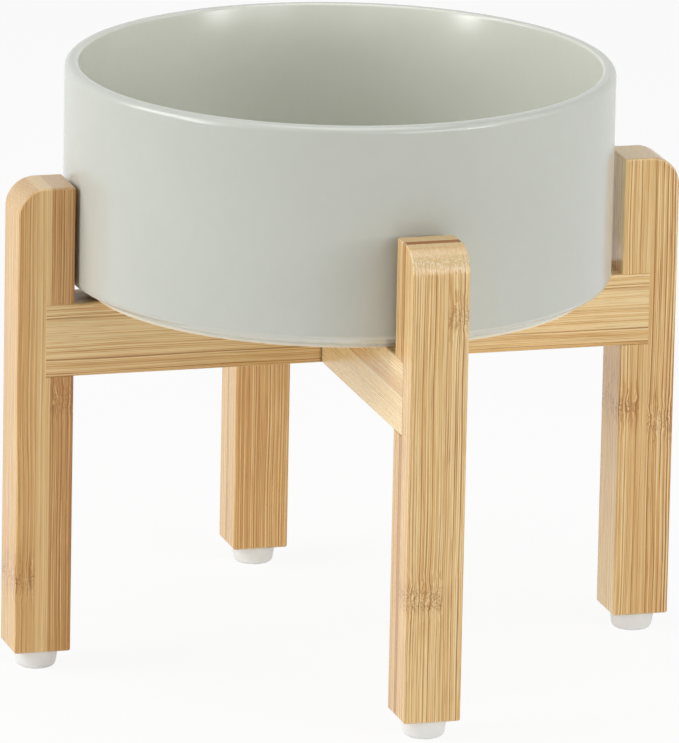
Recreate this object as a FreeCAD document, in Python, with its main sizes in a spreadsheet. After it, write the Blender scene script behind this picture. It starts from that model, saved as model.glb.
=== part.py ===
import FreeCAD, Part
import os

import Sketcher

# Elevated dog bowl: a straight-sided ceramic bowl standing in a bamboo stand.
# The stand is two leg frames, each a crossbar housed in two notched legs, which cross in a half-lap.
# Millimetres, +Z up, floor at zero, origin on the floor under the point where the crossbars meet.

SIZES = {
    # Bowl
    "bowl_diameter": 190.0,
    "bowl_height": 78.2,
    "bowl_wall": 7.0,
    "bowl_floor": 6.0,
    "lip_flare": 2.4,
    "lip_height": 16.0,
    "lip_blend_radius": 80.0,
    "rim_outer_radius": 2.4,
    "rim_inner_radius": 0.9,
    "heel_radius": 1.5,
    "heel_height": 5.0,
    "inside_radius": 20.0,
    "foot_ring_inset": 7.5,
    "foot_ring_width": 6.0,
    "foot_ring_height": 1.2,
    # Room between the bowl and the legs, and how close it stands to the left leg
    "bowl_clearance": 3.4,
    "left_leg_gap": 1.1,
    # Legs
    "leg_width": 20.0,
    "leg_depth": 20.0,
    "leg_above_bar": 41.3,
    "leg_top_radius": 10.0,
    "leg_edge_radius": 0.8,
    # Crossbars
    "bar_height": 25.5,
    "bar_above_leg_end": 98.5,
    "bar_edge_radius": 0.5,
    "housing_depth": 10.0,
    "lap_clearance": 0.3,
    # Dowels
    "dowel_diameter": 6.0,
    "dowel_in_bar": 18.0,
    "dowel_cover": 3.5,
    "dowel_chamfer": 0.8,
    "dowel_clearance": 0.1,
    "dowel_end_gap": 0.5,
    # Glides and their nails
    "glide_height": 7.0,
    "glide_top_diameter": 16.0,
    "glide_bottom_diameter": 13.6,
    "glide_edge_radius": 1.8,
    "nail_head_diameter": 7.0,
    "nail_head_thickness": 1.2,
    "nail_head_above_floor": 2.6,
    "nail_diameter": 2.2,
    "nail_in_leg": 14.0,
    "nail_point": 3.0,
    "nail_clearance": 0.05,
}

# Places worked out from the sizes above.
PLACES = {
    "leg_inner_face": "=sizes.bowl_diameter / 2 + sizes.bowl_clearance",
    "bar_underside": "=sizes.glide_height + sizes.bar_above_leg_end",
    "bowl_seat": "=bar_underside + sizes.bar_height",
    "bar_length": "=2 * (leg_inner_face + sizes.housing_depth)",
    "bar_middle": "=sizes.bar_height / 2",
    "leg_length": "=sizes.bar_above_leg_end + sizes.bar_height + sizes.leg_above_bar",
    "lap_width": "=sizes.leg_width + 2 * sizes.lap_clearance",
    "dowel_in_leg": "=sizes.leg_depth - sizes.housing_depth - sizes.dowel_cover - sizes.dowel_end_gap",
    "dowel_length": "=dowel_in_leg + sizes.dowel_in_bar",
    "dowel_bore": "=sizes.dowel_diameter + 2 * sizes.dowel_clearance",
    "nail_bore": "=sizes.nail_diameter + 2 * sizes.nail_clearance",
}

# The legs' sides of the stand, each a quarter turn on from the one before it. The first is towards +X.
SIDES = ("right", "back", "left", "front")

UP = FreeCAD.Vector(0, 0, 1)
NEAR = 1e-3

doc = FreeCAD.newDocument("elevated_dog_bowl")


def fill_sheet(name, values):
    """Make a sheet of named cells, one row each."""
    sheet = doc.addObject("Spreadsheet::Sheet", name)
    for row, (alias, value) in enumerate(values.items(), start=1):
        cell = f"B{row}"
        sheet.set(f"A{row}", alias)
        sheet.set(cell, value)
        sheet.setAlias(cell, alias)
    doc.recompute()


def new_body(label):
    """Start a sub-part, named for the file that it is written to."""
    body = doc.addObject("PartDesign::Body", label)
    body.Label = label
    return body


def origin_part(body, role):
    """Find one of the body's own origin planes or axes."""
    return next(item for item in body.Origin.OriginFeatures if item.Role == role)


def new_sketch(body, name, plane):
    """Start a sketch on one of the body's origin planes."""
    sketch = body.newObject("Sketcher::SketchObject", f"{body.Name}_{name}")
    sketch.AttachmentSupport = [(origin_part(body, plane), "")]
    sketch.MapMode = "FlatFace"
    return sketch


def pin_point(sketch, line, end, across, up):
    """Hold one point of a sketch at two expressions; a zero puts it on the axis."""
    for kind, axis, expression in (("DistanceX", -2, across), ("DistanceY", -1, up)):
        if expression == "0":
            sketch.addConstraint(Sketcher.Constraint("PointOnObject", line, end, axis))
            continue
        start = evaluate(expression)
        index = sketch.addConstraint(Sketcher.Constraint(kind, -1, 1, line, end, start))
        sketch.setExpression(f"Constraints[{index}]", expression)


def evaluate(expression):
    """Work out an expression of the sheets, for a sketch's first position."""
    return float(doc.sizes.evalExpression(expression))


def outline(body, name, plane, corners):
    """Sketch a closed outline through corners, each given as two expressions."""
    sketch = new_sketch(body, name, plane)
    points = [FreeCAD.Vector(evaluate(across), evaluate(up), 0) for across, up in corners]
    ends = points[1:] + points[:1]
    for start, end in zip(points, ends):
        sketch.addGeometry(Part.LineSegment(start, end), False)
    for line in range(len(points)):
        following = (line + 1) % len(points)
        sketch.addConstraint(Sketcher.Constraint("Coincident", line, 2, following, 1))
    for line, (across, up) in enumerate(corners):
        pin_point(sketch, line, 1, across, up)
    return sketch


def rectangle(body, name, plane, left, bottom, right, top):
    """Sketch an upright rectangle between two corners."""
    corners = [(left, bottom), (right, bottom), (right, top), (left, top)]
    return outline(body, name, plane, corners)


def circle(body, name, plane, across, up, diameter):
    """Sketch a circle about a centre, with its diameter as an expression."""
    sketch = new_sketch(body, name, plane)
    centre = FreeCAD.Vector(evaluate(across), evaluate(up), 0)
    sketch.addGeometry(Part.Circle(centre, UP, evaluate(diameter) / 2), False)
    pin_point(sketch, 0, 3, across, up)
    index = sketch.addConstraint(Sketcher.Constraint("Diameter", 0, evaluate(diameter)))
    sketch.setExpression(f"Constraints[{index}]", diameter)
    return sketch


def pad_both_ways(body, sketch, width):
    """Raise an outline to half the width on each side of its plane."""
    pad = body.newObject("PartDesign::Pad", f"{body.Name}_pad")
    pad.Profile = sketch
    pad.SideType = "Symmetric"
    pad.setExpression("Length", width)
    doc.recompute()
    return pad


def revolve(body, sketch):
    """Turn an outline right round the body's upright axis."""
    turned = body.newObject("PartDesign::Revolution", f"{body.Name}_turned")
    turned.Profile = sketch
    turned.ReferenceAxis = (sketch, ["V_Axis"])
    turned.Angle = 360
    doc.recompute()
    return turned


def cut(body, name, sketch, length=None, reverse=False):
    """Cut an outline into a body, through it both ways or to a length one way."""
    before = body.Shape.Volume
    pocket = body.newObject("PartDesign::Pocket", f"{body.Name}_{name}")
    pocket.Profile = sketch
    if length is None:
        pocket.SideType = "Symmetric"
        pocket.Type = "ThroughAll"
    else:
        pocket.Reversed = reverse
        pocket.setExpression("Length", length)
    doc.recompute()
    if body.Shape.Volume > before - NEAR:
        raise RuntimeError(f"{pocket.Name} cuts nothing")
    return pocket


def edge_names(feature, wanted):
    """Name the edges of a feature that a test picks."""
    return [f"Edge{number}" for number, edge in enumerate(feature.Shape.Edges, start=1) if wanted(edge)]


def rounded(body, name, feature, radius, wanted):
    """Round the edges of a feature that a test picks."""
    fillet = body.newObject("PartDesign::Fillet", f"{body.Name}_{name}")
    fillet.Base = (feature, edge_names(feature, wanted))
    fillet.setExpression("Radius", radius)
    doc.recompute()
    return fillet


def ring_at(radius, height):
    """Make a test for the circular edge of a turned piece at a radius and a height."""
    across = evaluate(radius)
    up = evaluate(height)

    def wanted(edge):
        if not isinstance(edge.Curve, Part.Circle):
            return False
        return abs(edge.Curve.Radius - across) < NEAR and abs(edge.Curve.Center.z - up) < NEAR

    return wanted


def place(body, base, rotation=None):
    """Set a body's turn, and bind its place to expressions."""
    body.Placement = FreeCAD.Placement(FreeCAD.Vector(), rotation or FreeCAD.Rotation())
    for axis, expression in zip("xyz", base):
        if expression != "0":
            body.setExpression(f"Placement.Base.{axis}", expression)
    doc.recompute()


def turn_to(side):
    """Give the turn about the upright axis that brings +X round to one side of the stand."""
    return FreeCAD.Rotation(UP, 90 * SIDES.index(side))


def at_side(side, distance, height):
    """Give the place at a distance out from the middle on one side of the stand."""
    outwards = turn_to(side).multVec(FreeCAD.Vector(1, 0, 0))
    along_x, along_y = round(outwards.x), round(outwards.y)
    across = f"{along_x} * ({distance})" if along_x else "0"
    deep = f"{along_y} * ({distance})" if along_y else "0"
    return across, deep, height


def make_bowl():
    """A turned ceramic bowl: upright wall thinned to its lip, flat floor, and a foot ring under a sloped heel."""
    body = new_body("bowl")
    outer = "sizes.bowl_diameter / 2"
    inner = "sizes.bowl_diameter / 2 - sizes.bowl_wall"
    lip_inner = "sizes.bowl_diameter / 2 - sizes.bowl_wall + sizes.lip_flare"
    ring_outer = "sizes.bowl_diameter / 2 - sizes.foot_ring_inset"
    ring_inner = "sizes.bowl_diameter / 2 - sizes.foot_ring_inset - sizes.foot_ring_width"
    underside = "sizes.foot_ring_height"
    heel = "sizes.heel_height"
    inside = "sizes.foot_ring_height + sizes.bowl_floor"
    rim = "sizes.bowl_height"
    lip_foot = "sizes.bowl_height - sizes.lip_height"
    section = outline(body, "section", "XZ_Plane", [
        ("0", underside),
        (ring_inner, underside),
        (ring_inner, "0"),
        (ring_outer, "0"),
        (ring_outer, underside),
        (outer, heel),
        (outer, rim),
        (lip_inner, rim),
        (inner, lip_foot),
        (inner, inside),
        ("0", inside),
    ])
    shape = revolve(body, section)
    rim_width = "(sizes.bowl_wall - sizes.lip_flare)"
    roundings = (
        ("inside_curve", "sizes.inside_radius", ring_at(inner, inside)),
        ("lip_blend", "sizes.lip_blend_radius", ring_at(inner, lip_foot)),
        ("heel", "min(sizes.heel_radius; 0.5 * sizes.foot_ring_inset)", ring_at(outer, heel)),
        ("rim_outside", f"min(sizes.rim_outer_radius; 0.6 * {rim_width})", ring_at(outer, rim)),
        ("rim_inside", f"min(sizes.rim_inner_radius; 0.3 * {rim_width})", ring_at(lip_inner, rim)),
    )
    for name, radius, wanted in roundings:
        shape = rounded(body, name, shape, radius, wanted)
    place(body, ("sizes.left_leg_gap - sizes.bowl_clearance", "0", "places.bowl_seat"))
    return body


def make_leg(side):
    """A square leg with its outer top edge rounded over, notched on its inner face for a crossbar.

    Its own frame has the inner face at zero depth and the lower end at zero height.
    """
    body = new_body(f"leg_{side}")
    block = rectangle(body, "block", "XZ_Plane", "0", "0", "sizes.leg_depth", "places.leg_length")
    shape = pad_both_ways(body, block, "sizes.leg_width")
    depth = evaluate("sizes.leg_depth")
    length = evaluate("places.leg_length")

    def outer_top(edge):
        middle = edge.CenterOfMass
        return abs(middle.x - depth) < NEAR and abs(middle.z - length) < NEAR

    shape = rounded(body, "top", shape, "sizes.leg_top_radius", outer_top)
    shape = rounded(body, "edges", shape, "sizes.leg_edge_radius", lambda edge: True)
    bar_top = "sizes.bar_above_leg_end + sizes.bar_height"
    housing = outline(body, "housing", "XZ_Plane", [
        ("0", "sizes.bar_above_leg_end"),
        ("sizes.housing_depth", "sizes.bar_above_leg_end"),
        ("sizes.housing_depth", bar_top),
        ("0", bar_top),
    ])
    cut(body, "notch", housing)
    dowel_height = "sizes.bar_above_leg_end + places.bar_middle"
    dowel_bore = circle(body, "dowel_circle", "YZ_Plane", "0", dowel_height, "places.dowel_bore")
    dowel_depth = "sizes.housing_depth + places.dowel_in_leg + sizes.dowel_end_gap"
    cut(body, "dowel_bore", dowel_bore, dowel_depth, reverse=True)
    nail_bore = circle(body, "nail_circle", "XY_Plane", "sizes.leg_depth / 2", "0", "places.nail_bore")
    cut(body, "nail_bore", nail_bore, "sizes.nail_in_leg", reverse=True)
    base = at_side(side, "places.leg_inner_face", "sizes.glide_height")
    place(body, base, turn_to(side))
    return body


def make_crossbar(label, turn, lap_on_top):
    """A flat crossbar, flush with the legs, halved at its middle and bored at each end for a dowel.

    Its own frame has one end at zero length and the underside at zero height.
    """
    body = new_body(label)
    block = rectangle(body, "block", "XZ_Plane", "0", "0", "places.bar_length", "sizes.bar_height")
    shape = pad_both_ways(body, block, "sizes.leg_width")
    length = evaluate("places.bar_length")

    def long_edge(edge):
        return abs(edge.Length - length) < NEAR

    rounded(body, "edges", shape, "sizes.bar_edge_radius", long_edge)
    lap_start = "places.bar_length / 2 - places.lap_width / 2"
    lap_end = "places.bar_length / 2 + places.lap_width / 2"
    lap_low = "places.bar_middle" if lap_on_top else "0"
    lap_high = "sizes.bar_height" if lap_on_top else "places.bar_middle"
    lap = rectangle(body, "lap_outline", "XZ_Plane", lap_start, lap_low, lap_end, lap_high)
    cut(body, "lap", lap)
    bore_depth = "sizes.dowel_in_bar + sizes.dowel_end_gap"
    near_bore = circle(body, "near_circle", "YZ_Plane", "0", "places.bar_middle", "places.dowel_bore")
    cut(body, "near_bore", near_bore, bore_depth, reverse=True)
    far_bore = circle(body, "far_circle", "YZ_Plane", "0", "places.bar_middle", "places.dowel_bore")
    far_bore.setExpression("AttachmentOffset.Base.z", "places.bar_length")
    cut(body, "far_bore", far_bore, bore_depth)
    near_side = {0: "left", 90: "front"}[turn]
    base = at_side(near_side, "places.bar_length / 2", "places.bar_underside")
    place(body, base, FreeCAD.Rotation(UP, turn))
    return body


def make_dowel(side):
    """A chamfered bamboo dowel, half hidden in the leg and half in the crossbar's end."""
    body = new_body(f"dowel_{side}")
    radius = "sizes.dowel_diameter / 2"
    end_radius = "sizes.dowel_diameter / 2 - sizes.dowel_chamfer"
    section = outline(body, "section", "XZ_Plane", [
        ("0", "0"),
        (end_radius, "0"),
        (radius, "sizes.dowel_chamfer"),
        (radius, "places.dowel_length - sizes.dowel_chamfer"),
        (end_radius, "places.dowel_length"),
        ("0", "places.dowel_length"),
    ])
    revolve(body, section)
    start = "places.leg_inner_face + sizes.housing_depth - sizes.dowel_in_bar"
    base = at_side(side, start, "places.bar_underside + places.bar_middle")
    lie_down = FreeCAD.Rotation(FreeCAD.Vector(0, 1, 0), 90)
    place(body, base, turn_to(side).multiply(lie_down))
    return body


def make_glide(side):
    """A tapered plastic glide under a leg, moulded round the head of its nail."""
    body = new_body(f"foot_{side}")
    head_radius = "sizes.nail_head_diameter / 2 + sizes.nail_clearance"
    head_low = "sizes.nail_head_above_floor - sizes.nail_clearance"
    head_high = "sizes.nail_head_above_floor + sizes.nail_head_thickness + sizes.nail_clearance"
    section = outline(body, "section", "XZ_Plane", [
        ("0", "0"),
        ("sizes.glide_bottom_diameter / 2", "0"),
        ("sizes.glide_top_diameter / 2", "sizes.glide_height"),
        ("places.nail_bore / 2", "sizes.glide_height"),
        ("places.nail_bore / 2", head_high),
        (head_radius, head_high),
        (head_radius, head_low),
        ("0", head_low),
    ])
    shape = revolve(body, section)
    tread = ring_at("sizes.glide_bottom_diameter / 2", "0")
    rounded(body, "edge", shape, "sizes.glide_edge_radius", tread)
    place(body, at_side(side, "places.leg_inner_face + sizes.leg_depth / 2", "0"))
    return body


def make_nail(side):
    """The steel nail of a glide: flat head in the plastic, pointed shank up into the leg."""
    body = new_body(f"foot_nail_{side}")
    head_top = "sizes.nail_head_above_floor + sizes.nail_head_thickness"
    tip = "sizes.glide_height + sizes.nail_in_leg"
    section = outline(body, "section", "XZ_Plane", [
        ("0", "sizes.nail_head_above_floor"),
        ("sizes.nail_head_diameter / 2", "sizes.nail_head_above_floor"),
        ("sizes.nail_head_diameter / 2", head_top),
        ("sizes.nail_diameter / 2", head_top),
        ("sizes.nail_diameter / 2", f"{tip} - sizes.nail_point"),
        ("0", tip),
    ])
    revolve(body, section)
    place(body, at_side(side, "places.leg_inner_face + sizes.leg_depth / 2", "0"))
    return body


def check(bodies):
    """Stop if any object failed to build or any sub-part is not one sound solid."""
    for item in doc.Objects:
        if {"Invalid", "Error"} & set(item.State):
            raise RuntimeError(f"{item.Name} failed: {item.State}")
    for body in bodies:
        shape = body.Shape
        if shape.isNull() or not shape.isValid() or len(shape.Solids) != 1:
            raise RuntimeError(f"{body.Label} is not one sound solid")


fill_sheet("sizes", {alias: str(value) for alias, value in SIZES.items()})
fill_sheet("places", PLACES)

bodies = [make_bowl()]
bodies.append(make_crossbar("crossbar_lower", turn=0, lap_on_top=True))
bodies.append(make_crossbar("crossbar_upper", turn=90, lap_on_top=False))
for side in SIDES:
    bodies.append(make_leg(side))
    bodies.append(make_dowel(side))
    bodies.append(make_glide(side))
    bodies.append(make_nail(side))
doc.recompute()
check(bodies)

os.makedirs("parts", exist_ok=True)
for body in bodies:
    body.Shape.exportStep(f"parts/{body.Label}.step")
    box = body.Shape.BoundBox
    print(f"{body.Label:18s} volume {body.Shape.Volume / 1000:8.2f} cm3, "
          f"x {box.XMin:.2f} to {box.XMax:.2f}, y {box.YMin:.2f} to {box.YMax:.2f}, "
          f"z {box.ZMin:.2f} to {box.ZMax:.2f}")
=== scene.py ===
import math
from collections import namedtuple

import bpy
from mathutils import Matrix, Vector


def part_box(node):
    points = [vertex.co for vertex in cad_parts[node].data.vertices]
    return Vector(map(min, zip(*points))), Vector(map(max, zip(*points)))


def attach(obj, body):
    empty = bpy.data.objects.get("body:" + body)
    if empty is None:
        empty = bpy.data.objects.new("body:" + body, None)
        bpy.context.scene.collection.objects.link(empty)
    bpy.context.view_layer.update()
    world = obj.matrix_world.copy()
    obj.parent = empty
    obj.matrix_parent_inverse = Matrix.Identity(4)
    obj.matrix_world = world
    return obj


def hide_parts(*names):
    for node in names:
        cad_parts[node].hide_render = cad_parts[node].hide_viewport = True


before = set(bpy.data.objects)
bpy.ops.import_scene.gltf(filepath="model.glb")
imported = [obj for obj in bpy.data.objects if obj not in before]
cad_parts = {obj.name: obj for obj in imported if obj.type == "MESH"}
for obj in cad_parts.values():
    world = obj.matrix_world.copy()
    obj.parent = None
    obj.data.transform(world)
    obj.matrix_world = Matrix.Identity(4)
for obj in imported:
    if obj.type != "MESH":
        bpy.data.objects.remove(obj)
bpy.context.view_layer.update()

bl_info = {
    "name": "Elevated dog bowl",
    "version": (1, 0, 0),
    "blender": (4, 5, 0),
    "location": "View3D > Sidebar > Dog Bowl",
    "description": "Glazed bowl on a bamboo stand, with its finishes and studio",
    "category": "Object",
}

MM = 0.001
SIDES = ("left", "right", "front", "back")

BOWL_LOW, BOWL_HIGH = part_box("bowl")
BOWL_CENTRE = Vector(((BOWL_LOW.x + BOWL_HIGH.x) / 2, 0.0, BOWL_LOW.z))
RING_TOLERANCE = 0.02 * MM
SMOOTH_BELOW = math.radians(40)
FINISH_IOR = 1.6

# A bamboo strip begins at a share of its piece's width. Pale is its tone, lined is how strongly its fibres
# show, knot is the share of the piece's length where a node mark lies (past 1 for none), ridge is how far
# that mark is raised, and seam is how dark the line is where the strip begins.
Strip = namedtuple("Strip", "start pale lined knot ridge seam", defaults=(1.4, 0, 0.2))

# Rows lie across the piece's first cross axis and columns across its second, and what they say is added
# together. Left_painted_light is painted light: it lightens the faces turned to the left, where the lamps
# fall, and dotted is how far the fibre ends show as pale dots.
Leg = namedtuple("Leg", "rows columns side_tone dotted")
Bar = namedtuple("Bar", "along crossed_by columns")

PLAIN = [Strip(0, 0, 0, 0)]
LEG_STRIPS = {
    "left": Leg(
        rows=[
            Strip(0, 0.32, 0.5, 0.16, ridge=1),
            Strip(0.34, 0.58, 0.3),
            Strip(0.585, 0.04, 0.8, 0.55, ridge=0.6),
        ],
        columns=PLAIN, side_tone=0.12, dotted=0.15),
    "right": Leg(
        rows=[
            Strip(0, 0.56, 0.8, 0.46, ridge=1),
            Strip(0.37, 0.64, 0.6),
            Strip(0.52, 0.44, 1.0, 0.43, ridge=0.4),
        ],
        columns=PLAIN, side_tone=0.3, dotted=0.15),
    "front": Leg(
        rows=[
            Strip(0, 0.50, 0.9, 0.27),
            Strip(0.63, 0.52, 1.1, 0.86, ridge=0.4),
        ],
        columns=[
            Strip(0, 0.12, 0, 0),
            Strip(0.47, -1.0, 0, 1.1, seam=0),
            Strip(0.65, -0.06, 0, 1.1, seam=0),
        ],
        side_tone=0.0, dotted=1.0),
    "back": Leg(
        rows=[
            Strip(0, 0.30, 0.6),
            Strip(0.42, 0.36, 0.6),
        ],
        columns=[
            Strip(0, 0.0, 0, 0),
            Strip(0.46, -0.5, 0, 0, seam=0),
            Strip(0.56, 0.1, 0, 0, seam=0),
        ],
        side_tone=0.2, dotted=0.6),
}
BAR_STRIPS = {
    "crossbar_lower": Bar(
        along=0, crossed_by="crossbar_upper",
        columns=[
            Strip(0, 0.64, 1.0),
            Strip(0.24, 0.84, 0.7, seam=0.5),
            Strip(0.52, 0.92, 0.6),
            Strip(0.8, 0.70, 1.0, seam=0.4),
        ]),
    "crossbar_upper": Bar(
        along=1, crossed_by="crossbar_lower",
        columns=[
            Strip(0, 0.98, 0.4),
            Strip(0.3, 0.88, 0.4, seam=0.35),
            Strip(0.55, 0.55, 0.5, seam=0.6),
            Strip(0.78, 0.95, 0.7, seam=0.3),
        ]),
}
DOWEL_STRIPS = [Strip(0, 0.5, 0.4)]

# Width across the fibres and length along them of each pattern in the bamboo, in millimetres.
PATTERNS = {
    "sway": (15, 60),
    "curl": (3.2, 6.5),
    "broad": (3.4, 300),
    "hue": (2.3, 220),
    "lines": (0.5, 110),
    "threads": (0.26, 50),
    "pores": (0.36, 14),
    "bundles": (0.62, 130),
    "fade": (1.2, 30),
    "stain": (1.5, 40),
    "flecks": (0.40, 3.6),
    "wave": (5.0, 400),
    "pith": (0.55, 30),
}
# How far each of these shifts the tone of the bamboo.
SHIFTS = {
    "broad": 0.12,
    "threads": 0.6,
    "fibres": 3.4,
    "bundles": 0.4,
    "rifts": -0.3,
    "above_knot": -0.1,
    "dark_strip": 0.4,
}
FIBRE_PITCH = 0.54 * MM
SWAY_REACH = 1.6 * MM
CURL_REACH = 2.4 * MM
KNOT_REACH_MM = 14.0
SEAM_HALF = 0.4 * MM
# Strength of the painted shade drawn where another bar crosses, standing in for the shadow in the joint's
# gap.
GAP_SHADE_STRENGTH = 0.9
NO_SEAM = (0, 0, 0, 1)
# A colour ramp holds no value below nought, so a strip's tone is kept in it with this added.
PALE_SHIFT = 1.0

# Azimuth 0 is in front of the object. Angles are in degrees, widths and heights in metres.
Lamp = namedtuple("Lamp", "azimuth elevation width height")
LAMPS = {
    "left_panel": Lamp(-96, 28, 1.0, 0.8),
    "left_key": Lamp(-73, 24, 0.7, 0.7),
    "right_key": Lamp(24, 17, 1.0, 0.7),
    "left_glint": Lamp(-75, 8, 0.3, 0.2),
    "right_glint": Lamp(42, 8, 0.3, 0.2),
    "right_panel": Lamp(66, 28, 1.0, 0.8),
    "top_panel": Lamp(0, 89, 1.0, 1.0),
}
LAMP_DISTANCE = 1.6
LAMP_AIM = Vector((0, 0, 0.12))
FLOOR_RADIUS = 8
FLOOR_SIDES = 96
# The share of the floor's look that is plain white. The rest takes the light and the shadow.
FLOOR_GLOW = 0.92


def srgb(red, green, blue):
    """Turn an 8-bit screen colour into the linear colour that a shader takes."""
    def linear(value):
        share = value / 255
        return share / 12.92 if share <= 0.04045 else ((share + 0.055) / 1.055) ** 2.4
    return linear(red), linear(green), linear(blue)


def darker(colour, share):
    """A colour at a share of its strength."""
    return [part * share for part in colour]


def colour_property(name, description, screen_colour):
    """A colour that a user may change, given as it looks on screen."""
    return bpy.props.FloatVectorProperty(
        name=name, description=description, subtype="COLOR", size=3, min=0, max=1,
        default=srgb(*screen_colour))


def length_property(name, description, millimetres):
    """A length that a user may change, given in millimetres and kept in metres."""
    return bpy.props.FloatProperty(
        name=name, description=description, unit="LENGTH", precision=4, default=millimetres * MM)


def angle_property(name, description, degrees):
    """An angle that a user may change, given in degrees."""
    return bpy.props.FloatProperty(
        name=name, description=description, subtype="ANGLE", default=math.radians(degrees))


def number_property(name, description, value):
    """A plain number that a user may change."""
    return bpy.props.FloatProperty(name=name, description=description, default=value)


class BowlSettings(bpy.types.PropertyGroup):
    """Sizes and colours of the bowl."""

    diameter: length_property("Diameter", "Across the outside of the wall", 190)
    height: length_property("Height", "From the foot ring to the rim", 78.2)
    wall: length_property("Wall", "Thickness of the wall below the lip", 7)
    floor: length_property("Floor", "Thickness of the floor", 6)
    lip_flare: length_property("Lip flare", "How much the wall thins towards the rim", 2.4)
    lip_height: length_property("Lip height", "How far below the rim the wall starts to thin", 16)
    rim_outer: length_property("Outer rim radius", "Rounding outside the rim", 2.4)
    rim_inner: length_property("Inner rim radius", "Rounding inside the rim", 0.9)
    heel: length_property("Heel radius", "Rounding under the wall", 1.5)
    heel_height: length_property("Heel height", "From the bottom of the foot ring to the wall", 5)
    inside: length_property("Inside radius", "Rounding where the wall meets the floor inside", 20)
    ring_inset: length_property("Foot ring inset", "From the wall to the foot ring", 7.5)
    ring_width: length_property("Foot ring width", "Width of the foot ring", 6)
    ring_height: length_property(
        "Foot ring height", "Height of the foot ring, and depth of the hollow inside it", 1.2)
    segments: bpy.props.IntProperty(name="Segments", description="Sides round the bowl", default=192)
    glaze: colour_property("Glaze", "Colour of the satin glaze", (209, 212, 203))
    # Glaze inside is painted light: a paler colour that brightens the inside of the bowl.
    glaze_inside_painted_light: colour_property("Glaze inside", "Colour of the thicker glaze inside", (222, 224, 213))
    # Thin glaze is also the colour of the painted highlight on the rim's inner edge and on the heel.
    glaze_thin_and_highlight: colour_property(
        "Thin glaze", "Colour where the glaze runs thin at an edge", (240, 239, 230))
    clay: colour_property("Clay", "Colour of the bare foot ring", (252, 238, 216))


class BambooSettings(bpy.types.PropertyGroup):
    """Colours and finish of the laminated bamboo."""

    pale: colour_property("Pale strip", "Colour of the palest strips", (255, 228, 172))
    middle: colour_property("Middle strip", "Colour of most strips", (236, 192, 123))
    deep: colour_property("Deep strip", "Colour of the darkest strips", (203, 146, 74))
    olive: colour_property("Olive strip", "Colour that some fibres lean to", (234, 198, 138))
    fibre: colour_property("Fibre", "Colour of the darkest fibres and of the pores", (174, 115, 51))
    knot: colour_property("Node mark", "Colour of the marks where the cane had its nodes", (158, 98, 42))
    end: colour_property("End grain", "Colour of the sanded fibre ends", (250, 234, 202))
    sawn: colour_property("Sawn end", "Colour that the sawn ends lean to", (188, 184, 156))
    roughness: number_property("Roughness", "Roughness of the clear finish", 0.26)


class GlideSettings(bpy.types.PropertyGroup):
    """Colours of the glides and of their nails."""

    plastic: colour_property("Plastic", "Colour of the moulded glides", (252, 253, 252))
    steel: colour_property("Steel", "Colour of the nails", (168, 168, 172))


class StageSettings(bpy.types.PropertyGroup):
    """Camera, lights and floor. The lamps' powers have the lamps' own names."""

    azimuth: angle_property("Azimuth", "Turn of the camera round the object", -16.29)
    pitch: angle_property("Pitch", "Height of the camera above the horizon", 15.114)
    roll: angle_property("Roll", "Turn of the camera about its own line of sight", 1.127)
    camera_place: bpy.props.FloatVectorProperty(
        name="Camera place", description="Where the camera stands", subtype="TRANSLATION",
        unit="LENGTH", size=3, default=(-0.9333, -3.1918, 0.9971))
    lens: number_property("Lens", "Focal length in millimetres", 480.8)
    floor_colour: colour_property("Floor", "Colour of the floor", (250, 250, 249))
    dome: number_property("Dome", "Strength of the light from all round", 0.02)
    left_panel: number_property("Left panel", "Power of the soft panel on the left in watts", 12.5)
    left_key: number_property("Left key", "Power of the lamp in front on the left in watts", 1.2)
    right_key: number_property("Right key", "Power of the lamp in front on the right in watts", 6.2)
    left_glint: number_property("Left glint", "Power of the small low lamp on the left in watts", 3.4)
    right_glint: number_property("Right glint", "Power of the small low lamp on the right in watts", 2.72)
    right_panel: number_property("Right panel", "Power of the soft panel on the right in watts", 3.9)
    top_panel: number_property("Top panel", "Power of the soft panel overhead in watts", 8.9)


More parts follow.
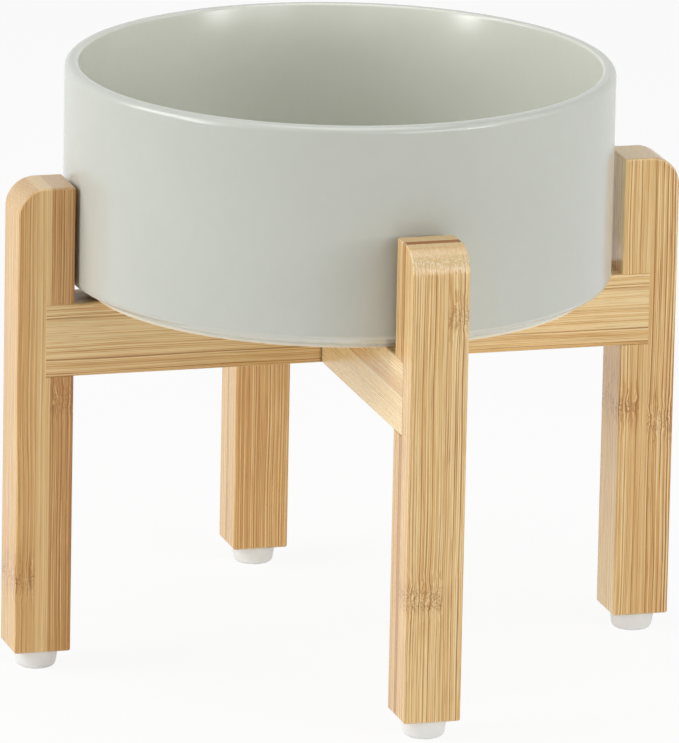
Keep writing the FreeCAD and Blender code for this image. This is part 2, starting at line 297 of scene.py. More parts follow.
class Nodes:
    """Adds linked nodes to one shader tree."""

    def __init__(self, tree):
        self.tree = tree

    def add(self, kind, settings=None, inputs=None):
        """Add a node, set its settings and fill its inputs with values or other nodes' outputs."""
        node = self.tree.nodes.new(kind)
        for name, value in (settings or {}).items():
            setattr(node, name, value)
        for key, value in (inputs or {}).items():
            self.fill(node.inputs[key], value)
        return node

    def fill(self, socket, value):
        """Link a socket to an output, or set its value."""
        if isinstance(value, bpy.types.NodeSocket):
            self.tree.links.new(value, socket)
        elif socket.type == "RGBA" and len(value) == 3:
            socket.default_value = (*value, 1.0)
        else:
            socket.default_value = value

    def math(self, operation, first, second=0.0, third=0.0, clamp=False):
        """One sum on numbers."""
        node = self.add("ShaderNodeMath", {"operation": operation, "use_clamp": clamp})
        for socket, value in zip(node.inputs, (first, second, third)):
            self.fill(socket, value)
        return node.outputs[0]

    def vector(self, operation, first, second=(0.0, 0.0, 0.0)):
        """One sum on vectors."""
        node = self.add("ShaderNodeVectorMath", {"operation": operation})
        self.fill(node.inputs[0], first)
        self.fill(node.inputs[1], second)
        return node.outputs[0]

    def split(self, vector):
        """The three parts of a vector."""
        return self.add("ShaderNodeSeparateXYZ", inputs={"Vector": vector}).outputs

    def even(self, value):
        """A vector with the same value in all three parts."""
        return self.add("ShaderNodeCombineXYZ", inputs={0: value, 1: value, 2: value}).outputs[0]

    def channels(self, colour):
        """The three channels of a colour."""
        return self.add("ShaderNodeSeparateColor", inputs={"Color": colour}).outputs

    def noise(self, vector, scale=1.0, detail=2.0):
        """Noise between zero and one."""
        node = self.add("ShaderNodeTexNoise", {"noise_dimensions": "3D"}, {
            "Vector": vector, "Scale": scale, "Detail": detail})
        return node.outputs["Fac"]

    def cells(self, vector, feature, output):
        """One output of a pattern of cells."""
        node = self.add("ShaderNodeTexVoronoi", {"feature": feature}, {"Vector": vector, "Scale": 1.0})
        return node.outputs[output]

    def blend(self, factor, first, second, mode="MIX"):
        """Mix two colours."""
        node = self.add("ShaderNodeMix", {"data_type": "RGBA", "blend_type": mode})
        self.fill(node.inputs[0], factor)
        self.fill(node.inputs[6], first)
        self.fill(node.inputs[7], second)
        return node.outputs[2]

    def step(self, value, low, high):
        """A smooth step from zero at low to one at high."""
        node = self.add("ShaderNodeMapRange", {"interpolation_type": "SMOOTHSTEP"}, {
            "Value": value, "From Min": low, "From Max": high})
        return node.outputs["Result"]

    def ramp(self, factor, stops, interpolation):
        """A row of colours with alpha along a number, each at its own place."""
        node = self.add("ShaderNodeValToRGB", inputs={"Fac": factor})
        node.color_ramp.interpolation = interpolation
        elements = node.color_ramp.elements
        while len(elements) > 1:
            elements.remove(elements[-1])
        for index, (place, colour) in enumerate(stops):
            element = elements[0] if index == 0 else elements.new(place)
            element.position = place
            element.color = colour
        return node

    def bump(self, surface, relief, strength, depth):
        """Give a surface shader a fine relief."""
        node = self.add("ShaderNodeBump", inputs={"Height": relief, "Strength": strength, "Distance": depth})
        self.fill(surface.inputs["Normal"], node.outputs[0])


def new_material(name):
    """Start a material with an empty tree, a surface shader and an output."""
    material = bpy.data.materials.new(name)
    material.use_nodes = True
    material.node_tree.nodes.clear()
    nodes = Nodes(material.node_tree)
    surface = nodes.add("ShaderNodeBsdfPrincipled")
    nodes.add("ShaderNodeOutputMaterial", inputs={"Surface": surface.outputs[0]})
    return material, nodes, surface


def wear(obj, material):
    """Give a piece one material all over."""
    obj.data.materials.clear()
    obj.data.materials.append(material)


def glaze_material(bowl):
    """Satin glaze, paler inside as painted light, thin at the rim with a painted highlight there and on the
    heel, and wiped off the foot ring.
    """
    material, nodes, surface = new_material("satin_glaze")
    place = nodes.add("ShaderNodeTexCoord").outputs["Object"]
    height = nodes.split(place)["Z"]
    clouds = nodes.noise(place, scale=22, detail=3)
    mottle = nodes.noise(place, scale=260, detail=2)
    peel = nodes.noise(place, scale=900, detail=2)

    # The glaze inside is paler: painted light that brightens the inside of the bowl. Both are faintly
    # clouded.
    mouth = bowl.diameter / 2 - bowl.wall + bowl.lip_flare
    level = nodes.vector("MULTIPLY", nodes.vector("SUBTRACT", place, BOWL_CENTRE), (1, 1, 0))
    across = nodes.add("ShaderNodeVectorMath", {"operation": "LENGTH"}, {0: level}).outputs["Value"]
    colour = nodes.blend(nodes.step(across, mouth + 1.6 * MM, mouth), bowl.glaze, bowl.glaze_inside_painted_light)
    tint = nodes.math("MULTIPLY_ADD", clouds, 0.5, nodes.math("MULTIPLY", mottle, 0.2))
    clouded = nodes.blend(1.0, colour, (0.965, 0.965, 0.965), "MULTIPLY")
    colour = nodes.blend(nodes.step(tint, 0.2, 0.5), clouded, colour)

    # It runs thin on the inner edge of the rim, where the paler line is also a painted highlight, and a
    # fainter painted highlight lies along the corner of the heel.
    rim = BOWL_CENTRE.z + bowl.height
    from_edge = nodes.math("ABSOLUTE", nodes.math("SUBTRACT", across, mouth + 0.2 * MM))
    at_rim = nodes.step(height, rim - 1.2 * MM, rim)
    edge = nodes.math("MULTIPLY", nodes.step(from_edge, 0.55 * MM, 0.15 * MM), at_rim)
    heel = BOWL_CENTRE.z + bowl.heel_height + 0.3 * MM
    from_heel_highlight = nodes.math("ABSOLUTE", nodes.math("SUBTRACT", height, heel))
    edge = nodes.math("MULTIPLY_ADD", nodes.step(from_heel_highlight, 0.6 * MM, 0.2 * MM), 0.5, edge)
    colour = nodes.blend(nodes.math("MULTIPLY", edge, 0.7), colour, bowl.glaze_thin_and_highlight)

    # The foot ring is wiped bare, along an uneven line.
    line = nodes.math("MULTIPLY_ADD", nodes.noise(place, scale=120), 0.4 * MM, height)
    bare = nodes.step(line, BOWL_CENTRE.z + 1.05 * MM, BOWL_CENTRE.z + 0.9 * MM)
    grog = nodes.noise(place, scale=1500, detail=3)
    clay = nodes.blend(grog, darker(bowl.clay, 0.85), bowl.clay)
    nodes.fill(surface.inputs["Base Color"], nodes.blend(bare, colour, clay))

    surface.inputs["IOR"].default_value = FINISH_IOR
    satin = nodes.math("MULTIPLY_ADD", clouds, 0.08, 0.19)
    nodes.fill(surface.inputs["Roughness"], nodes.math("MULTIPLY_ADD", bare, 0.5, satin, clamp=True))
    relief = nodes.math("MULTIPLY_ADD", peel, 0.25, nodes.math("MULTIPLY", mottle, 0.6))
    nodes.bump(surface, relief, 0.12, 0.2 * MM)
    return material


class BambooGrain:
    """Builds the figure of one piece of laminated bamboo, with its fibres along one axis of the piece's node.

    Tones run from -0.5 for the fibre colour, over 0 for deep and 0.5 for middle, to 1 for pale.
    """

    def __init__(self, nodes, node, along, rows, columns, bamboo):
        self.nodes = nodes
        self.along = along
        self.first, self.second = [axis for axis in range(3) if axis != along]
        self.rows = rows
        self.columns = columns
        self.bamboo = bamboo
        coordinates = nodes.add("ShaderNodeTexCoord").outputs
        self.place = coordinates["Object"]
        self.facing = nodes.split(coordinates["Normal"])
        self.low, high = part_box(node)
        self.size = high - self.low
        from_low = nodes.vector("SUBTRACT", self.place, self.low)
        self.shares = nodes.split(nodes.vector("DIVIDE", from_low, self.size))

        both = zip(self.strips(self.first, rows), self.strips(self.second, columns))
        pale, self.lined, knot_place, self.ridged = [nodes.math("ADD", row, column) for row, column in both]
        self.pale = nodes.math("SUBTRACT", pale, 2 * PALE_SHIFT)
        # Each strip takes its patterns from another part of the noise.
        self.seed = nodes.math("MULTIPLY_ADD", knot_place, 97.0, nodes.math("MULTIPLY", self.pale, 53.0))
        self.seeds = nodes.even(self.seed)
        past_knot = nodes.math("SUBTRACT", self.shares[along], knot_place)
        self.from_knot = nodes.math("MULTIPLY", past_knot, self.size[along] / MM)
        self.near_knot = nodes.step(nodes.math("ABSOLUTE", self.from_knot), KNOT_REACH_MM, 0.0)

        sway = self.drift("sway", SWAY_REACH)
        curl = self.drift("curl", nodes.math("MULTIPLY", self.near_knot, CURL_REACH))
        self.grain = nodes.vector("ADD", nodes.vector("ADD", self.place, sway), curl)
        self.hue = self.noise("hue")
        self.lines = self.noise("lines", detail=0)
        self.threads = self.noise("threads")

    def strips(self, axis, table):
        """What a table of strips says across one axis: pale with its shift, lined, knot and ridge."""
        stops = [(strip.start, (strip.pale + PALE_SHIFT, strip.lined, strip.knot, strip.ridge))
                 for strip in table]
        ramp = self.nodes.ramp(self.shares[axis], stops, "CONSTANT")
        return [*self.nodes.channels(ramp.outputs["Color"]), ramp.outputs["Alpha"]]

    def seams(self, axis, table):
        """Thin lines where the strips of a table meet."""
        half = SEAM_HALF / self.size[axis]
        stops = [(0, NO_SEAM)]
        for strip in table[1:]:
            stops += [
                (strip.start - half, NO_SEAM),
                (strip.start, (strip.seam, 0, 0, 1)),
                (strip.start + half, NO_SEAM),
            ]
        ramp = self.nodes.ramp(self.shares[axis], stops, "LINEAR")
        return self.nodes.channels(ramp.outputs["Color"])[0]

    def scaled(self, vector, pattern):
        """Coordinates for one pattern, drawn out along the fibres."""
        across, lengthwise = PATTERNS[pattern]
        scale = [1 / (across * MM)] * 3
        scale[self.along] = 1 / (lengthwise * MM)
        return self.nodes.vector("ADD", self.nodes.vector("MULTIPLY", vector, scale), self.seeds)

    def noise(self, pattern, detail=1):
        """Noise of one pattern, along the grain."""
        return self.nodes.noise(self.scaled(self.grain, pattern), detail=detail)

    def drift(self, pattern, reach):
        """A shift that bends the grain, of up to half a reach to each side."""
        noise = self.nodes.add("ShaderNodeTexNoise", inputs={
            "Vector": self.scaled(self.place, pattern), "Scale": 1.0, "Detail": 1.0})
        shift = self.nodes.vector("SUBTRACT", noise.outputs["Color"], (0.5, 0.5, 0.5))
        return self.nodes.vector("MULTIPLY", shift, self.nodes.even(reach))

    def toned(self, tone):
        """The colour of a tone."""
        bamboo = self.bamboo
        row = (bamboo.fibre, bamboo.deep, bamboo.middle, bamboo.pale)
        stops = [(index / 3, (*colour, 1)) for index, colour in enumerate(row)]
        share = self.nodes.math("DIVIDE", self.nodes.math("ADD", tone, 0.5), 1.5)
        return self.nodes.ramp(share, stops, "LINEAR").outputs["Color"]

    def fibres(self):
        """Fine lines across whichever long face is seen, that fade in and out along it."""
        nodes = self.nodes
        grains = nodes.split(self.grain)
        to_first = nodes.math("ABSOLUTE", self.facing[self.first])
        to_second = nodes.math("ABSOLUTE", self.facing[self.second])
        faces_second = nodes.math("GREATER_THAN", to_second, to_first)
        apart = nodes.math("SUBTRACT", grains[self.first], grains[self.second])
        over = nodes.math("MULTIPLY_ADD", faces_second, apart, grains[self.second])
        over = nodes.math("MULTIPLY_ADD", over, 1 / FIBRE_PITCH, self.seed)
        lines = nodes.add("ShaderNodeTexNoise", {"noise_dimensions": "1D"}, {
            "W": over, "Scale": 1.0, "Detail": 1.0}).outputs["Fac"]
        fade = nodes.step(self.noise("fade"), 0.25, 0.70)
        return nodes.math("MULTIPLY", nodes.math("SUBTRACT", lines, 0.5), nodes.math("ADD", fade, 0.4))

    def crisp(self):
        """The fibres, with the bundles that they lie in and the dark rifts between those."""
        nodes = self.nodes
        place = self.scaled(self.grain, "bundles")
        bundle = nodes.channels(nodes.cells(place, "F1", "Color"))[0]
        rift = nodes.step(nodes.cells(place, "DISTANCE_TO_EDGE", "Distance"), 0.2, 0.04)
        bundles = nodes.math("MULTIPLY_ADD", bundle, SHIFTS["bundles"], -0.1)
        crisp = nodes.math("MULTIPLY_ADD", rift, SHIFTS["rifts"], bundles)
        return nodes.math("MULTIPLY_ADD", self.fibres(), SHIFTS["fibres"], crisp)

    def long_tone(self, side_tone):
        """The tone of the long faces: each strip's own, with its fibres, stains by a node mark, and painted
        light on the faces turned to the left.
        """
        nodes = self.nodes
        # A very dark strip is that dark only where it is sawn across.
        dark = nodes.step(self.pale, -0.1, -0.4)
        tone = nodes.math("MULTIPLY_ADD", dark, SHIFTS["dark_strip"], self.pale)
        broad = nodes.math("SUBTRACT", self.noise("broad"), 0.5)
        tone = nodes.math("MULTIPLY_ADD", broad, SHIFTS["broad"], tone)
        above_knot = nodes.math(
            "MULTIPLY", nodes.step(self.from_knot, 1.0, 4.0), nodes.step(self.from_knot, 26.0, 6.0))
        tone = nodes.math("MULTIPLY_ADD", above_knot, SHIFTS["above_knot"], tone)
        stain = nodes.math("MULTIPLY", nodes.step(self.noise("stain"), 0.46, 0.62), self.near_knot)
        stain = nodes.math("MULTIPLY", stain, nodes.math("MULTIPLY_ADD", self.ridged, 0.4, 0.05))
        tone = nodes.math("SUBTRACT", tone, stain)
        # Painted light: faces turned to the left are made paler, as where the lamps fall on them.
        left_faces_painted_light = nodes.step(self.facing[0], -0.5, -0.9)
        tone = nodes.math("MULTIPLY_ADD", left_faces_painted_light, side_tone, tone)
        strength = nodes.math("MULTIPLY_ADD", self.near_knot, 0.2, self.lined)
        tone = nodes.math("MULTIPLY_ADD", self.crisp(), strength, tone)
        threads = nodes.math("SUBTRACT", self.threads, 0.5)
        return nodes.math("MULTIPLY_ADD", threads, SHIFTS["threads"], tone)

    def slanted(self, slope):
        """Short flecks that lean to one side."""
        nodes = self.nodes
        lean = nodes.math("MULTIPLY", self.from_knot, slope * MM)
        leaning = nodes.add("ShaderNodeCombineXYZ", inputs={self.first: lean, self.second: lean}).outputs[0]
        place = self.scaled(nodes.vector("ADD", self.grain, leaning), "flecks")
        return nodes.step(nodes.noise(place, detail=1), 0.53, 0.66)

    def node_marks(self):
        """The marks where the cane had its nodes: crossed flecks, and two wavy grooves beside a ridge."""
        nodes = self.nodes
        band = nodes.step(nodes.math("ABSOLUTE", nodes.math("ADD", self.from_knot, 1.0)), 5.5, 2.0)
        band = nodes.math("MULTIPLY", band, nodes.math("MULTIPLY_ADD", self.ridged, -0.35, 0.7))
        flecks = nodes.math("MULTIPLY", nodes.math("MAXIMUM", self.slanted(0.42), self.slanted(-0.46)), band)
        wave = nodes.noise(self.scaled(self.place, "wave"), detail=1)
        wave = nodes.math("MULTIPLY_ADD", nodes.math("SUBTRACT", wave, 0.5), 5.0, self.from_knot)
        groove = nodes.math("SUBTRACT", nodes.math("ABSOLUTE", wave), 0.8)
        groove = nodes.step(nodes.math("ABSOLUTE", groove), 0.40, 0.1)
        ridge = nodes.math("MULTIPLY", groove, self.ridged)
        ridge = nodes.math("MULTIPLY", ridge, nodes.step(self.hue, 0.44, 0.56))
        return nodes.math("MAXIMUM", flecks, nodes.math("MULTIPLY", ridge, 0.65))

    def long_colour(self, side_tone, marks, joint):
        """The colour of the long faces, with pores, node marks, seams, and painted shade along the sides of
        the piece that crosses it.
        """
        nodes = self.nodes
        bamboo = self.bamboo
        olive = nodes.math("MULTIPLY", nodes.step(self.hue, 0.45, 0.70), 0.15)
        colour = nodes.blend(olive, self.toned(self.long_tone(side_tone)), bamboo.olive)
        pores = nodes.step(self.noise("pores", detail=0), 0.60, 0.76)
        pores = nodes.math("MULTIPLY", pores, nodes.math("MULTIPLY", self.lined, 0.35))
        colour = nodes.blend(pores, colour, bamboo.fibre)
        colour = nodes.blend(marks, colour, bamboo.knot)
        row_seams = self.seams(self.first, self.rows)
        column_seams = self.seams(self.second, self.columns)
        colour = nodes.blend(nodes.math("MAXIMUM", row_seams, column_seams), colour, bamboo.knot)
        # Painted shade: dark lines where the sides of the piece that crosses this one lie, standing in for
        # the shadow in the gap.
        shares = [(edge - self.low[self.along]) / self.size[self.along] for edge in joint]
        edges = [Strip(share, 0, 0, seam=GAP_SHADE_STRENGTH) for share in shares]
        painted_gap_shade = self.seams(self.along, [Strip(0, 0, 0), *edges])
        return nodes.blend(painted_gap_shade, colour, darker(bamboo.knot, 0.2))

    def end_colour(self, slope, sawn, dotted):
        """The colour across the fibres: dotted where an edge is rounded, and greyer where it is sawn flat."""
        nodes = self.nodes
        bamboo = self.bamboo
        pith = nodes.cells(self.scaled(self.grain, "pith"), "F1", "Distance")
        dots = nodes.math("MULTIPLY", nodes.step(pith, 0.6, 0.25), dotted)
        dots = nodes.math("MULTIPLY", dots, nodes.step(slope, 1.0, 0.5))
        round_tone = nodes.math("MULTIPLY_ADD", nodes.step(slope, 0.5, 0.95), -0.25, self.pale)
        rounded = nodes.blend(0.28, self.toned(round_tone), bamboo.sawn)
        rounded = nodes.blend(dots, rounded, bamboo.end)
        grey = nodes.math("MULTIPLY", nodes.step(self.pale, -0.5, 0.2), 0.5)
        flat_tone = nodes.math("MULTIPLY_ADD", self.pale, 0.8, -0.05)
        flat = nodes.blend(grey, self.toned(flat_tone), bamboo.sawn)
        flat = nodes.blend(nodes.step(self.pale, -0.2, -0.5), flat, darker(bamboo.knot, 0.7))
        return nodes.blend(sawn, rounded, flat)


def bamboo_material(name, node, along, rows, columns, bamboo, side_tone=0.0, dotted=0.0, joint=()):
    """Laminated bamboo for one node. Joint gives the places along it where the sides of the piece that
    crosses it lie, and a painted shade line is drawn at each.
    """
    material, nodes, surface = new_material(name)
    piece = BambooGrain(nodes, node, along, rows, columns, bamboo)
    marks = piece.node_marks()
    slope = nodes.math("ABSOLUTE", piece.facing[along])
    sawn = nodes.step(slope, 0.93, 0.99)
    cut_across = nodes.math("MULTIPLY", nodes.step(slope, 0.12, 0.5), 0.85)
    colour = nodes.blend(
        cut_across, piece.long_colour(side_tone, marks, joint), piece.end_colour(slope, sawn, dotted))
    nodes.fill(surface.inputs["Base Color"], colour)
    satin = nodes.math("MULTIPLY_ADD", piece.lines, 0.2, bamboo.roughness - 0.1)
    nodes.fill(surface.inputs["Roughness"], nodes.math("MULTIPLY_ADD", sawn, 0.4 * dotted, satin))
    surface.inputs["IOR"].default_value = FINISH_IOR
    relief = nodes.math("MULTIPLY_ADD", piece.threads, 0.5, nodes.math("MULTIPLY", marks, -0.8))
    nodes.bump(surface, nodes.math("ADD", piece.lines, relief), 0.25, 0.1 * MM)
    return material


def plastic_material(glide):
    """Moulded plastic with a faint texture from its mould."""
    material, nodes, surface = new_material("moulded_plastic")
    place = nodes.add("ShaderNodeTexCoord").outputs["Object"]
    clouds = nodes.noise(place, scale=160, detail=2)
    grain = nodes.noise(place, scale=2600, detail=2)
    colour = nodes.blend(clouds, darker(glide.plastic, 0.97), glide.plastic)
    nodes.fill(surface.inputs["Base Color"], colour)
    nodes.fill(surface.inputs["Roughness"], nodes.math("MULTIPLY_ADD", grain, 0.2, 0.36))
    nodes.bump(surface, grain, 0.15, 0.05 * MM)
    return material


def steel_material(glide):
    """Drawn steel with fine lines along the nail."""
    material, nodes, surface = new_material("drawn_steel")
    place = nodes.add("ShaderNodeTexCoord").outputs["Object"]
    lines = nodes.noise(nodes.vector("MULTIPLY", place, (6000, 6000, 150)), detail=2)
    colour = nodes.blend(lines, darker(glide.steel, 0.8), glide.steel)
    nodes.fill(surface.inputs["Base Color"], colour)
    surface.inputs["Metallic"].default_value = 1.0
    nodes.fill(surface.inputs["Roughness"], nodes.math("MULTIPLY_ADD", lines, 0.25, 0.22))
    return material


def select_faces(obj, picks):
    """Select the faces that a test picks, and go to edit mode."""
    bpy.ops.object.mode_set(mode="EDIT")
    bpy.context.tool_settings.mesh_select_mode = (False, False, True)
    bpy.ops.mesh.select_all(action="DESELECT")
    bpy.ops.object.mode_set(mode="OBJECT")
    for polygon in obj.data.polygons:
        polygon.select = picks(polygon)
    bpy.ops.object.mode_set(mode="EDIT")


def select_ring(obj, centre, radius, height):
    """Select the ring of edges at one radius and height, and go to edit mode."""
    def on_ring(index):
        place = obj.data.vertices[index].co
        across = math.hypot(place.x - centre.x, place.y - centre.y)
        return abs(across - radius) < RING_TOLERANCE and abs(place.z - height) < RING_TOLERANCE

    bpy.ops.object.mode_set(mode="EDIT")
    bpy.context.tool_settings.mesh_select_mode = (False, True, False)
    bpy.ops.mesh.select_all(action="DESELECT")
    bpy.ops.object.mode_set(mode="OBJECT")
    found = 0
    for edge in obj.data.edges:
        edge.select = all(on_ring(index) for index in edge.vertices)
        found += edge.select
    if not found:
        raise RuntimeError(f"the bowl has no ring of edges at radius {radius} and height {height}")
    bpy.ops.object.mode_set(mode="EDIT")


class DOGBOWL_OT_bowl(bpy.types.Operator):
    """Turn the ceramic bowl from a drum and glaze it."""

    bl_idname = "dogbowl.bowl"
    bl_label = "Glazed bowl"

    def execute(self, context):
        bowl = context.scene.dogbowl_bowl
        radius = bowl.diameter / 2
        inner = bowl.diameter / 2 - bowl.wall
        mouth = inner + bowl.lip_flare
        under = BOWL_CENTRE.z + bowl.heel_height
        rim = BOWL_CENTRE.z + bowl.height
        lip = rim - bowl.lip_height
        floor = BOWL_CENTRE.z + bowl.ring_height + bowl.floor
        bpy.ops.object.select_all(action="DESELECT")
        bpy.ops.mesh.primitive_cylinder_add(
            vertices=bowl.segments, radius=radius, depth=rim - under,
            location=(BOWL_CENTRE.x, 0, (rim + under) / 2))
        obj = context.object
        obj.name = obj.data.name = "glazed_bowl"
        bpy.ops.object.transform_apply(location=True, rotation=True, scale=True)

        def sink(depth, share):
            bpy.ops.mesh.extrude_region_move(TRANSFORM_OT_translate={"value": (0, 0, -depth)})
            bpy.ops.transform.resize(value=(share, share, 1), center_override=BOWL_CENTRE)

        select_faces(obj, lambda polygon: polygon.normal.z > 0.9)
        bpy.ops.mesh.inset(thickness=radius - mouth)
        sink(rim - lip, inner / mouth)
        sink(lip - floor, 1.0)
        floor_margin = bowl.inside + 6 * MM
        floor_ring = inner * 0.35
        bpy.ops.mesh.inset(thickness=floor_margin)
        bpy.ops.mesh.inset(thickness=floor_ring)
        select_faces(obj, lambda polygon: polygon.normal.z < -0.9)
        ring_outer = radius - bowl.ring_inset
        ring_inner = ring_outer - bowl.ring_width
        bpy.ops.mesh.inset(thickness=bowl.ring_inset)
        bpy.ops.transform.translate(value=(0, 0, bowl.ring_height - bowl.heel_height))
        sink(bowl.ring_height, 1.0)
        bpy.ops.mesh.inset(thickness=bowl.ring_width)
        sink(-bowl.ring_height, 1.0)

        lip_curve = bowl.lip_height - 2 * MM
        ring_edge = 0.3 * MM
        roundings = [
            (radius, rim, bowl.rim_outer, 8),
            (mouth, rim, bowl.rim_inner, 6),
            (inner, lip, lip_curve, 12),
            (inner, floor, bowl.inside, 20),
            (radius, under, bowl.heel, 8),
            (ring_outer, BOWL_CENTRE.z, ring_edge, 3),
            (ring_inner, BOWL_CENTRE.z, ring_edge, 3),
        ]
        for ring_radius, height, width, segments in roundings:
            select_ring(obj, BOWL_CENTRE, ring_radius, height)
            bpy.ops.mesh.bevel(offset=width, segments=segments, profile=0.5, affect="EDGES")
        bpy.ops.mesh.select_all(action="SELECT")
        bpy.ops.mesh.normals_make_consistent(inside=False)
        bpy.ops.object.mode_set(mode="OBJECT")
        bpy.ops.object.shade_smooth_by_angle(angle=SMOOTH_BELOW)
        bpy.ops.object.modifier_add(type="WEIGHTED_NORMAL")
        obj.modifiers[-1].keep_sharp = True
        bpy.ops.object.modifier_apply(modifier=obj.modifiers[-1].name)
        wear(obj, glaze_material(bowl))
        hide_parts("bowl")
        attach(obj, "bowl_body")
        return {"FINISHED"}


class DOGBOWL_OT_legs(bpy.types.Operator):
    """Finish the four legs in laminated bamboo."""

    bl_idname = "dogbowl.legs"
    bl_label = "Bamboo legs"

    def execute(self, context):
        for side, leg in LEG_STRIPS.items():
            node = f"leg_{side}"
            wear(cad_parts[node], bamboo_material(
                f"bamboo_{node}", node, 2, leg.rows, leg.columns, context.scene.dogbowl_bamboo,
                leg.side_tone, leg.dotted))
        return {"FINISHED"}


class DOGBOWL_OT_crossbars(bpy.types.Operator):
    """Finish the two crossbars in laminated bamboo."""

    bl_idname = "dogbowl.crossbars"
    bl_label = "Bamboo crossbars"

    def execute(self, context):
        for node, bar in BAR_STRIPS.items():
            # The sides of the other bar, where painted shade is drawn.
            joint = [corner[bar.along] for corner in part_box(bar.crossed_by)]
            wear(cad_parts[node], bamboo_material(
                f"bamboo_{node}", node, bar.along, PLAIN, bar.columns, context.scene.dogbowl_bamboo,
                joint=joint))
        return {"FINISHED"}


class DOGBOWL_OT_dowels(bpy.types.Operator):
    """Finish the four dowels, whose fibres run along them."""

    bl_idname = "dogbowl.dowels"
    bl_label = "Bamboo dowels"

    def execute(self, context):
        for side in SIDES:
            node = f"dowel_{side}"
            along = 0 if side in ("left", "right") else 1
            wear(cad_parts[node], bamboo_material(
                f"bamboo_{node}", node, along, DOWEL_STRIPS, PLAIN, context.scene.dogbowl_bamboo))
        return {"FINISHED"}


class DOGBOWL_OT_glides(bpy.types.Operator):
    """Finish the four plastic glides and their nails."""

    bl_idname = "dogbowl.glides"
    bl_label = "Glides and nails"

    def execute(self, context):
        plastic = plastic_material(context.scene.dogbowl_glide)
        steel = steel_material(context.scene.dogbowl_glide)
        for side in SIDES:
            wear(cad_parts[f"foot_{side}"], plastic)
            wear(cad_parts[f"foot_nail_{side}"], steel)
        return {"FINISHED"}


def shown_white(nodes):
    """One for rays that show the stage itself, straight or in a gloss, and nought for the light it throws."""
    path = nodes.add("ShaderNodeLightPath").outputs
    seen = nodes.math("MAXIMUM", path["Is Camera Ray"], path["Is Glossy Ray"])
    return nodes.math("MAXIMUM", seen, path["Is Transmission Ray"])


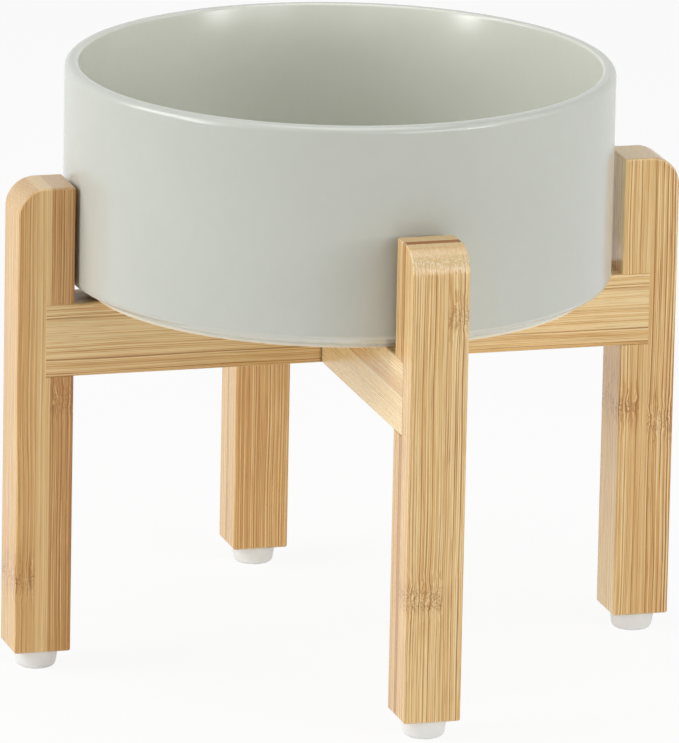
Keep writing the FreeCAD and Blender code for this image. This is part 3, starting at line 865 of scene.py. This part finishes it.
class DOGBOWL_OT_stage(bpy.types.Operator):
    """Set up the floor, the soft light and the camera."""

    bl_idname = "dogbowl.stage"
    bl_label = "Studio stage"

    def execute(self, context):
        stage = context.scene.dogbowl_stage
        self.floor(context, stage)
        self.world(context, stage)
        for name, lamp in LAMPS.items():
            self.softbox(name, lamp, getattr(stage, name))
        self.camera(context, stage)
        context.scene.view_settings.view_transform = "Standard"
        return {"FINISHED"}

    def floor(self, context, stage):
        """A wide pale floor that shows white and keeps the shadow."""
        bpy.ops.object.select_all(action="DESELECT")
        bpy.ops.mesh.primitive_circle_add(vertices=FLOOR_SIDES, radius=FLOOR_RADIUS, fill_type="NGON")
        floor = context.object
        floor.name = "studio_floor"
        material, nodes, surface = new_material("pale_floor")
        surface.inputs["Base Color"].default_value = (*stage.floor_colour, 1)
        surface.inputs["Roughness"].default_value = 0.9
        surface.inputs["Specular IOR Level"].default_value = 0.0
        glow = nodes.add("ShaderNodeEmission", inputs={"Color": (1, 1, 1), "Strength": 1.0})
        share = nodes.math("MULTIPLY", shown_white(nodes), FLOOR_GLOW)
        mixed = nodes.add("ShaderNodeMixShader", inputs={
            0: share, 1: surface.outputs[0], 2: glow.outputs[0]})
        output = next(node for node in material.node_tree.nodes if node.type == "OUTPUT_MATERIAL")
        nodes.fill(output.inputs["Surface"], mixed.outputs[0])
        wear(floor, material)

    def world(self, context, stage):
        """Even light from all round, which shows as white."""
        world = bpy.data.worlds.new("studio")
        world.use_nodes = True
        world.node_tree.nodes.clear()
        nodes = Nodes(world.node_tree)
        strength = nodes.math("MULTIPLY_ADD", shown_white(nodes), 1 - stage.dome, stage.dome)
        sky = nodes.add("ShaderNodeBackground", inputs={"Color": (1, 1, 1), "Strength": strength})
        nodes.add("ShaderNodeOutputWorld", inputs={"Surface": sky.outputs[0]})
        context.scene.world = world

    def softbox(self, name, lamp, power):
        """A flat lamp turned to the object."""
        turn = math.radians(lamp.azimuth)
        lift = math.radians(lamp.elevation)
        away = Vector((math.sin(turn) * math.cos(lift), -math.cos(turn) * math.cos(lift), math.sin(lift)))
        bpy.ops.object.light_add(type="AREA", location=LAMP_AIM + LAMP_DISTANCE * away)
        light = bpy.context.object
        light.name = name
        light.rotation_euler = away.to_track_quat("Z", "Y").to_euler()
        light.data.shape = "RECTANGLE"
        light.data.size = lamp.width
        light.data.size_y = lamp.height
        light.data.energy = power

    def camera(self, context, stage):
        """The camera at the photograph's viewing angle."""
        bpy.ops.object.camera_add()
        camera = context.object
        camera.name = "studio_camera"
        camera.data.lens = stage.lens
        camera.data.clip_end = 100
        turn = (Matrix.Rotation(stage.azimuth, 4, "Z") @ Matrix.Rotation(math.pi / 2 - stage.pitch, 4, "X")
                @ Matrix.Rotation(stage.roll, 4, "Z"))
        camera.matrix_world = Matrix.Translation(stage.camera_place) @ turn
        context.scene.camera = camera


class DOGBOWL_PT_panel(bpy.types.Panel):
    """Lists the steps that build the bowl, its stand and the stage."""

    bl_idname = "DOGBOWL_PT_panel"
    bl_label = "Elevated dog bowl"
    bl_space_type = "VIEW_3D"
    bl_region_type = "UI"
    bl_category = "Dog Bowl"

    def draw(self, context):
        for step in STEPS:
            self.layout.operator(step.bl_idname)


SETTINGS = {
    "dogbowl_bowl": BowlSettings,
    "dogbowl_bamboo": BambooSettings,
    "dogbowl_glide": GlideSettings,
    "dogbowl_stage": StageSettings,
}
STEPS = (DOGBOWL_OT_bowl, DOGBOWL_OT_legs, DOGBOWL_OT_crossbars, DOGBOWL_OT_dowels, DOGBOWL_OT_glides,
         DOGBOWL_OT_stage)


def register():
    """Register the settings, the steps and the panel."""
    for name, group in SETTINGS.items():
        bpy.utils.register_class(group)
        setattr(bpy.types.Scene, name, bpy.props.PointerProperty(type=group))
    for step in STEPS:
        bpy.utils.register_class(step)
    bpy.utils.register_class(DOGBOWL_PT_panel)


def unregister():
    """Take everything out again."""
    bpy.utils.unregister_class(DOGBOWL_PT_panel)
    for step in reversed(STEPS):
        bpy.utils.unregister_class(step)
    for name, group in reversed(SETTINGS.items()):
        delattr(bpy.types.Scene, name)
        bpy.utils.unregister_class(group)


def main():
    """Build the scene in order."""
    register()
    bpy.ops.dogbowl.bowl()
    bpy.ops.dogbowl.legs()
    bpy.ops.dogbowl.crossbars()
    bpy.ops.dogbowl.dowels()
    bpy.ops.dogbowl.glides()
    bpy.ops.dogbowl.stage()


if __name__ == "__main__":
    main()
